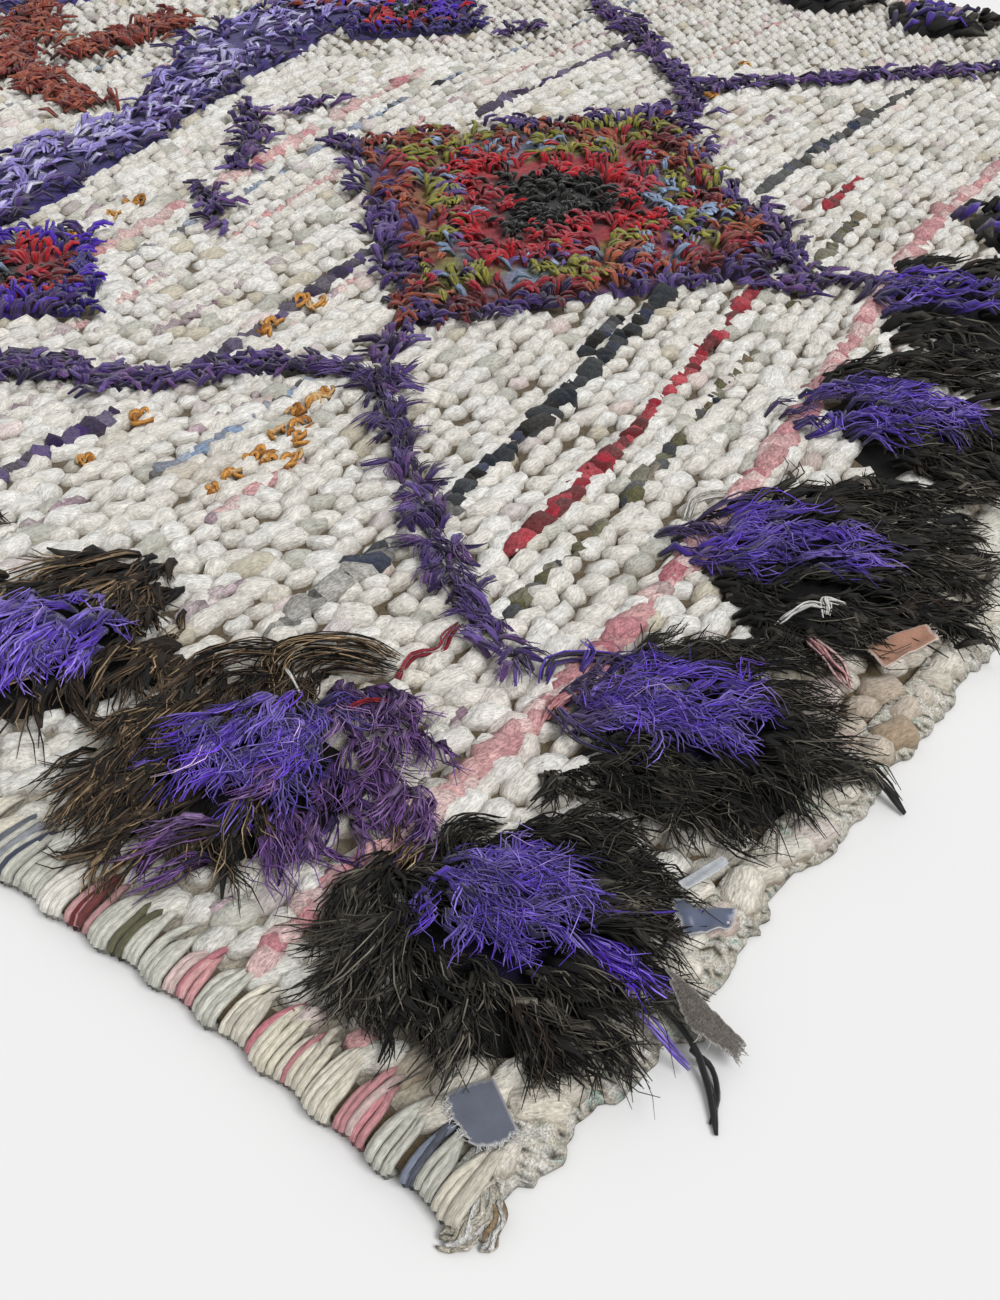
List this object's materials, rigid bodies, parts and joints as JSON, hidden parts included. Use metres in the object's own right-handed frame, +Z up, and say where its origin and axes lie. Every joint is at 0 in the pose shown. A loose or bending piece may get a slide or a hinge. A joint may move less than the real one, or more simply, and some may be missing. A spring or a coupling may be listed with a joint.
{
  "type": "azilal rug",
  "caption": "Hand-woven azilal rug lying flat: ivory weft rows, a border of shaggy violet and black pile lozenges, pile medallions, wrapped selvedges and matted ends.",
  "frame": {"origin": "under the middle of the rug, on the floor that it lies on: the centre of its outline, at the height of its flat underside", "axes": "+X along the weft, from the left selvedge to the right; +Y along the warp, from the near end to the far end; +Z up, out of the pile"},
  "size_m": [1.118, 1.7344, 0.024],
  "materials": {
    "weave": "ivory hand-spun wool, weft-faced, with coloured yarn in single rows",
    "pile_violet": "bright violet wool pile, long and shaggy",
    "pile_black": "black and brown-black wool pile, long and shaggy",
    "pile_purple": "dark purple wool pile, short",
    "pile_mixed": "red, olive and light blue wool pile, short",
    "rag_satin": "grey-blue satin scrap with a soft sheen",
    "rag_peach": "peach-brown cotton scrap",
    "rag_strip": "grey-white cotton strip",
    "rag_blue": "blue-grey cotton scrap",
    "rag_felt": "grey matted wool"
  },
  "bodies": {
    "root": {"rug": "weave", "rag_satin": "rag_satin", "rag_peach": "rag_peach", "rag_strip": "rag_strip", "rag_blue": "rag_blue", "rag_felt": "rag_felt"}
  },
  "joints": []
}
